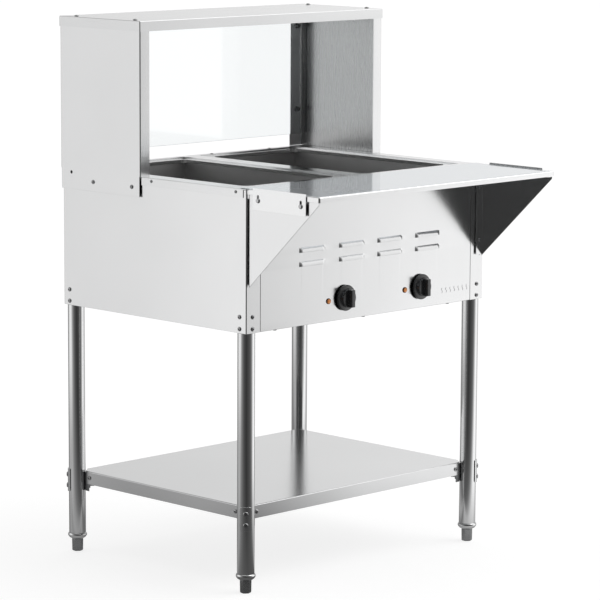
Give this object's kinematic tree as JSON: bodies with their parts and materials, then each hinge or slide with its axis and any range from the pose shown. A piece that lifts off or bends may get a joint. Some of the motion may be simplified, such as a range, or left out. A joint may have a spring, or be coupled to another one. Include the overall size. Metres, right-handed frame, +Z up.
{
  "type": "steam table unit",
  "caption": "Free-standing electric steam table with two open dry-heat wells, glazed overshelf, plate shelf, knobs, lamps, undershelf and levelling feet.",
  "frame": {"origin": "on the floor, under the middle of the unit's outer box", "axes": "+Z up, -Y towards the customer-service front with the plate shelf and knobs, +X to the right seen from the front"},
  "size_m": [0.8296, 0.8728, 1.318],
  "materials": {
    "stainless": "fine brushed",
    "stainless_polished": "bright, under a thin film",
    "tube_steel": "polished tube",
    "well_steel": "dull, heat resistant liner",
    "element_sheath": "oxidised sheath",
    "zinc_steel": "zinc plated",
    "foot_metal": "grey cast metal",
    "black_plastic": "glossy",
    "amber_lens": "translucent amber",
    "tempered_glass": "clear"
  },
  "bodies": {
    "table": {"front_panel": "stainless", "back_panel": "stainless", "top_frame": "stainless", "overshelf": "stainless", "plate_shelf": "stainless_polished", "undershelf": "stainless", "glass_panel": "tempered_glass", "bottom_panel": "zinc_steel", "cable_gland": "black_plastic", "terminal_box": "black_plastic", "side_panel_left": "stainless", "well_left": "well_steel", "heating_element_left": "element_sheath", "heat_control_left": "black_plastic", "indicator_lamp_left": "amber_lens", "guard_side_left": "stainless", "gusset_left": "stainless", "shelf_hanger_left": "stainless", "glass_clip_lower_left": "zinc_steel", "glass_clip_upper_left": "zinc_steel", "side_panel_right": "stainless", "well_right": "well_steel", "heating_element_right": "element_sheath", "heat_control_right": "black_plastic", "indicator_lamp_right": "amber_lens", "guard_side_right": "stainless", "gusset_right": "stainless", "shelf_hanger_right": "stainless", "glass_clip_lower_right": "zinc_steel", "glass_clip_upper_right": "zinc_steel", "leg_socket_front_left": "zinc_steel", "leg_front_left": "tube_steel", "foot_insert_front_left": "tube_steel", "leg_clamp_front_left": "stainless", "corner_bracket_front_left": "zinc_steel", "leg_socket_rear_left": "zinc_steel", "leg_rear_left": "tube_steel", "foot_insert_rear_left": "tube_steel", "leg_clamp_rear_left": "stainless", "corner_bracket_rear_left": "zinc_steel", "leg_socket_front_right": "zinc_steel", "leg_front_right": "tube_steel", "foot_insert_front_right": "tube_steel", "leg_clamp_front_right": "stainless", "corner_bracket_front_right": "zinc_steel", "leg_socket_rear_right": "zinc_steel", "leg_rear_right": "tube_steel", "foot_insert_rear_right": "tube_steel", "leg_clamp_rear_right": "stainless", "corner_bracket_rear_right": "zinc_steel"},
    "left_knob": {"knob_left": "black_plastic", "control_shaft_left": "zinc_steel"},
    "right_knob": {"knob_right": "black_plastic", "control_shaft_right": "zinc_steel"},
    "front_left_levelling_foot": {"foot_front_left": "foot_metal"},
    "rear_left_levelling_foot": {"foot_rear_left": "foot_metal"},
    "front_right_levelling_foot": {"foot_front_right": "foot_metal"},
    "rear_right_levelling_foot": {"foot_rear_right": "foot_metal"}
  },
  "joints": [
    {"name": "turn_left_knob", "type": "hinge", "parent": "table", "child": "left_knob", "pos_m": [-0.083, -0.2064, 0.668], "axis": [0, 1, 0], "range_deg": [0, 300]},
    {"name": "turn_right_knob", "type": "hinge", "parent": "table", "child": "right_knob", "pos_m": [0.181, -0.2064, 0.668], "axis": [0, 1, 0], "range_deg": [0, 300]},
    {"name": "screw_out_front_left_foot", "type": "slide", "parent": "table", "child": "front_left_levelling_foot", "axis": [0, 0, -1], "range_m": [0, 0.025]},
    {"name": "screw_out_rear_left_foot", "type": "slide", "parent": "table", "child": "rear_left_levelling_foot", "axis": [0, 0, -1], "range_m": [0, 0.025]},
    {"name": "screw_out_front_right_foot", "type": "slide", "parent": "table", "child": "front_right_levelling_foot", "axis": [0, 0, -1], "range_m": [0, 0.025]},
    {"name": "screw_out_rear_right_foot", "type": "slide", "parent": "table", "child": "rear_right_levelling_foot", "axis": [0, 0, -1], "range_m": [0, 0.025]}
  ]
}
